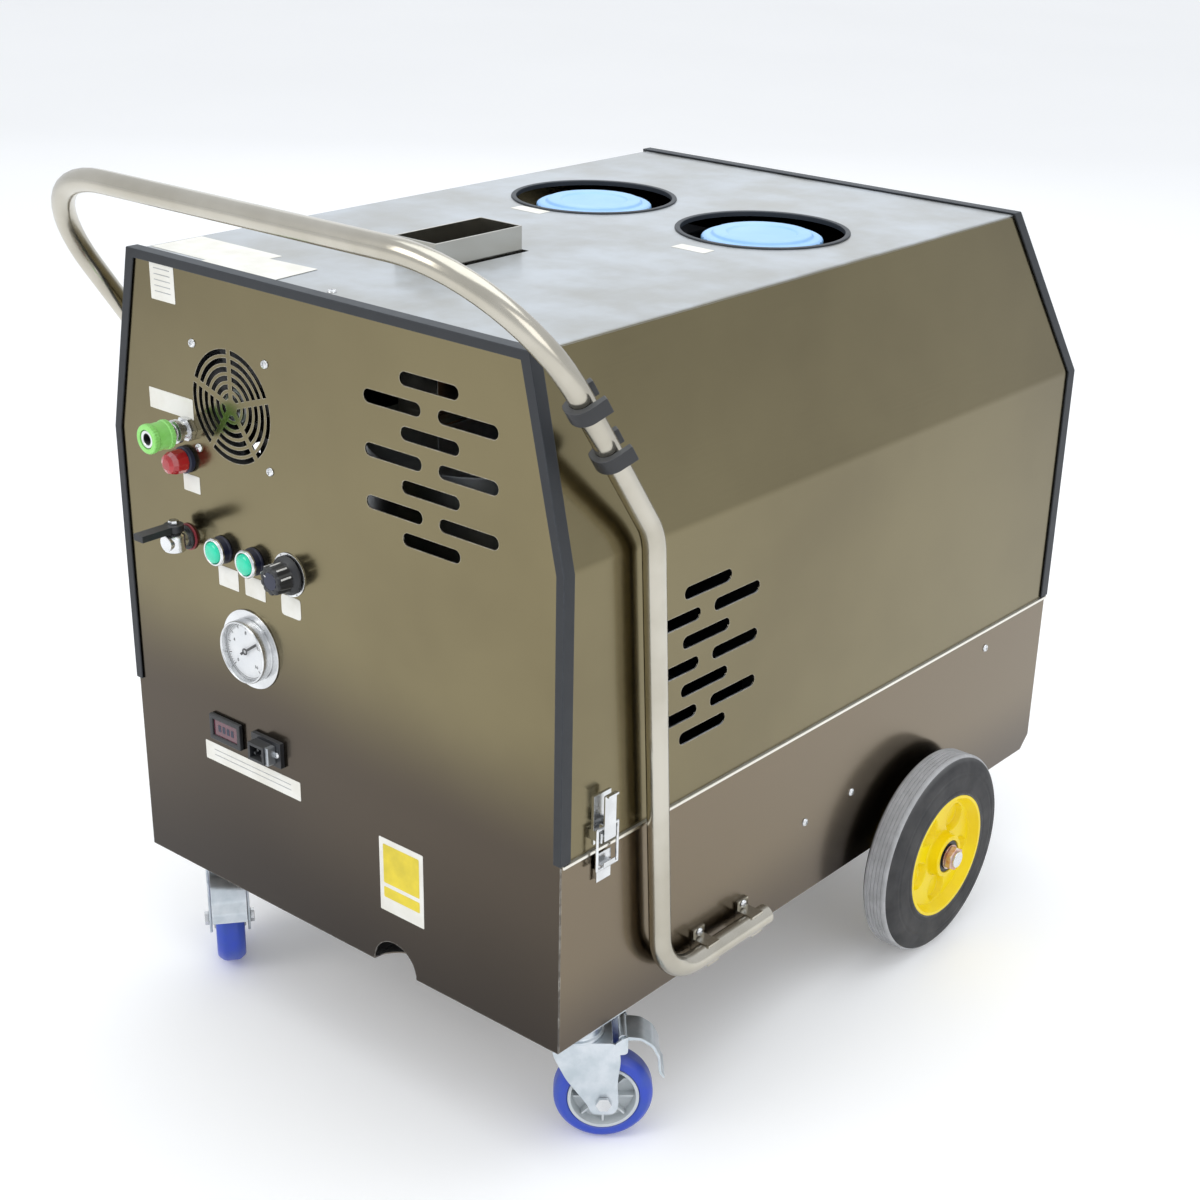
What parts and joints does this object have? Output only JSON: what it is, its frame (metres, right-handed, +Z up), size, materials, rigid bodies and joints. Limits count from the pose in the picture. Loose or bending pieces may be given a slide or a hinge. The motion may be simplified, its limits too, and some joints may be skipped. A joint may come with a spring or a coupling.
{
  "type": "steam cleaner",
  "caption": "Mobile commercial steam cleaner: sheet-steel cabinet with a lift-off hood, front control panel, bent-tube push handle, braked swivel casters in front and solid rear wheels.",
  "frame": {"origin": "on the floor, under the middle of the whole machine's bounding box", "axes": "+Z up, -Y out of the control panel (the side with the handle's crossbar), +X to the right of someone who faces the control panel"},
  "size_m": [0.7406, 0.9825, 0.916],
  "materials": {
    "black_plastic": "moulded black",
    "brass": "machined",
    "burner_red": "enamel",
    "button_green": "translucent lens",
    "cabinet_steel": "satin stainless sheet with a tinted protective film sheen",
    "caster_zinc": "zinc plated",
    "copper_pipe": "drawn tube",
    "core_grey": "moulded nylon",
    "disc_yellow": "gloss enamel",
    "frame_steel": "matt grey",
    "gauge_glass": "clear",
    "gauge_steel": "polished steel",
    "insulation": "galvanised",
    "lamp_red": "translucent lens",
    "lid_plastic": "light blue moulding",
    "pump_paint": "semi-gloss enamel",
    "screws": "bright zinc",
    "sleeve_green": "anodised green",
    "tank_plastic": "translucent white moulding",
    "tread_blue": "polyurethane",
    "trim_rubber": "extruded edge trim",
    "tube_steel": "satin stainless",
    "tyre_rubber": "moulded rubber"
  },
  "bodies": {
    "chassis": {"base_tray": "cabinet_steel", "base_frame": "frame_steel", "front_panel": "cabinet_steel", "rear_panel": "cabinet_steel", "handle_tube": "tube_steel", "handle_saddles": "tube_steel", "panel_screws": "screws", "lance_clips": "black_plastic", "rear_axle": "screws", "caster_plates": "caster_zinc", "latch_keepers": "screws", "exhaust_collar": "cabinet_steel", "boiler_shell": "insulation", "heating_coil": "copper_pipe", "burner_blower": "burner_red", "water_tank": "tank_plastic", "fuel_tank": "tank_plastic", "pump_head": "brass", "pump_motor": "pump_paint", "relay_board": "black_plastic", "fan_frame": "black_plastic", "gauge_case": "gauge_steel", "gauge_lens": "gauge_glass", "control_bezels": "black_plastic", "alarm_lamp": "lamp_red", "panel_fittings": "gauge_steel", "level_meter": "black_plastic", "power_inlet": "black_plastic", "steam_pipe": "copper_pipe", "safety_valve": "brass"},
    "hood": {"hood_shell": "cabinet_steel", "hood_front_trim": "trim_rubber", "hood_rear_trim": "trim_rubber", "filler_rings": "trim_rubber", "latch_bases": "screws"},
    "lever_left": {"latch_lever_l": "screws"},
    "lever_right": {"latch_lever_r": "screws"},
    "bail_left": {"latch_bail_l": "screws"},
    "bail_right": {"latch_bail_r": "screws"},
    "water_cap": {"water_cap": "lid_plastic"},
    "fuel_cap": {"fuel_cap": "lid_plastic"},
    "rear_wheel_left": {"rear_tyre_l": "tyre_rubber", "rear_disc_l": "disc_yellow"},
    "rear_wheel_right": {"rear_tyre_r": "tyre_rubber", "rear_disc_r": "disc_yellow"},
    "swivel_left": {"caster_fork_l": "caster_zinc"},
    "swivel_right": {"caster_fork_r": "caster_zinc"},
    "caster_wheel_left": {"caster_tread_l": "tread_blue", "caster_core_l": "core_grey"},
    "caster_wheel_right": {"caster_tread_r": "tread_blue", "caster_core_r": "core_grey"},
    "pedal_left": {"caster_pedal_l": "caster_zinc"},
    "pedal_right": {"caster_pedal_r": "caster_zinc"},
    "button_start": {"button_start": "button_green"},
    "button_stop": {"button_stop": "button_green"},
    "valve_lever": {"valve_lever": "black_plastic"},
    "knob": {"pressure_knob": "black_plastic"},
    "pointer": {"gauge_pointer": "black_plastic"},
    "impeller": {"fan_impeller": "black_plastic"},
    "inlet_sleeve": {"inlet_sleeve": "sleeve_green"}
  },
  "joints": [
    {"name": "hood_lift", "type": "slide", "parent": "chassis", "child": "hood", "axis": [0, 0, 1], "range_m": [0, 0.24]},
    {"name": "latch_left", "type": "hinge", "parent": "hood", "child": "lever_left", "pos_m": [-0.311, -0.34525, 0.366], "axis": [0, -1, 0], "range_deg": [0, 100]},
    {"name": "bail_left", "type": "hinge", "parent": "lever_left", "child": "bail_left", "pos_m": [-0.311, -0.34525, 0.374], "axis": [0, -1, 0], "range_deg": [-100, 0]},
    {"name": "latch_right", "type": "hinge", "parent": "hood", "child": "lever_right", "pos_m": [0.311, -0.34525, 0.366], "axis": [0, 1, 0], "range_deg": [0, 100]},
    {"name": "bail_right", "type": "hinge", "parent": "lever_right", "child": "bail_right", "pos_m": [0.311, -0.34525, 0.374], "axis": [0, 1, 0], "range_deg": [-100, 0]},
    {"name": "water_cap_lift", "type": "slide", "parent": "chassis", "child": "water_cap", "axis": [0, 0, 1], "range_m": [0, 0.15]},
    {"name": "fuel_cap_lift", "type": "slide", "parent": "chassis", "child": "fuel_cap", "axis": [0, 0, 1], "range_m": [0, 0.15]},
    {"name": "rear_wheel_left", "type": "hinge", "parent": "chassis", "child": "rear_wheel_left", "pos_m": [-0.333, 0.21875, 0.12], "axis": [1, 0, 0], "continuous": true},
    {"name": "rear_wheel_right", "type": "hinge", "parent": "chassis", "child": "rear_wheel_right", "pos_m": [0.333, 0.21875, 0.12], "axis": [1, 0, 0], "continuous": true},
    {"name": "caster_swivel_left", "type": "hinge", "parent": "chassis", "child": "swivel_left", "pos_m": [-0.266, -0.33225, 0.13], "axis": [0, 0, 1], "continuous": true},
    {"name": "caster_roll_left", "type": "hinge", "parent": "swivel_left", "child": "caster_wheel_left", "pos_m": [-0.24394, -0.34949, 0.05], "axis": [0.6157, 0.788, 0], "continuous": true},
    {"name": "brake_pedal_left", "type": "hinge", "parent": "swivel_left", "child": "pedal_left", "pos_m": [-0.22975, -0.36057, 0.124], "axis": [0.6157, 0.788, 0], "range_deg": [0, 12]},
    {"name": "caster_swivel_right", "type": "hinge", "parent": "chassis", "child": "swivel_right", "pos_m": [0.266, -0.33225, 0.13], "axis": [0, 0, 1], "continuous": true},
    {"name": "caster_roll_right", "type": "hinge", "parent": "swivel_right", "child": "caster_wheel_right", "pos_m": [0.28681, -0.31351, 0.05], "axis": [-0.6691, 0.7431, 0], "continuous": true},
    {"name": "brake_pedal_right", "type": "hinge", "parent": "swivel_right", "child": "pedal_right", "pos_m": [0.30018, -0.30147, 0.124], "axis": [-0.6691, 0.7431, 0], "range_deg": [0, 12]},
    {"name": "start_press", "type": "slide", "parent": "chassis", "child": "button_start", "axis": [0, 1, 0], "range_m": [0, 0.003], "stiffness_N_per_m": 600, "springref_m": -0.001},
    {"name": "stop_press", "type": "slide", "parent": "chassis", "child": "button_stop", "axis": [0, 1, 0], "range_m": [0, 0.003], "stiffness_N_per_m": 600, "springref_m": -0.001},
    {"name": "valve_turn", "type": "hinge", "parent": "chassis", "child": "valve_lever", "pos_m": [-0.201, -0.41925, 0.553], "axis": [0, 0, 1], "range_deg": [-90, 0]},
    {"name": "knob_turn", "type": "hinge", "parent": "chassis", "child": "knob", "pos_m": [-0.0495, -0.41625, 0.539], "axis": [0, 1, 0], "range_deg": [-150, 150]},
    {"name": "pointer_turn", "type": "hinge", "parent": "chassis", "child": "pointer", "pos_m": [-0.113, -0.41025, 0.441], "axis": [0, 1, 0], "range_deg": [-190, 80]},
    {"name": "fan_spin", "type": "hinge", "parent": "chassis", "child": "impeller", "pos_m": [-0.1225, -0.38125, 0.691], "axis": [0, 1, 0], "continuous": true},
    {"name": "sleeve_slide", "type": "slide", "parent": "chassis", "child": "inlet_sleeve", "axis": [0, 1, 0], "range_m": [0, 0.005], "stiffness_N_per_m": 500, "springref_m": -0.001}
  ],
  "couplings": [
    {"joint": "bail_left", "follows": "latch_left", "ratio": -1},
    {"joint": "bail_right", "follows": "latch_right", "ratio": -1}
  ]
}
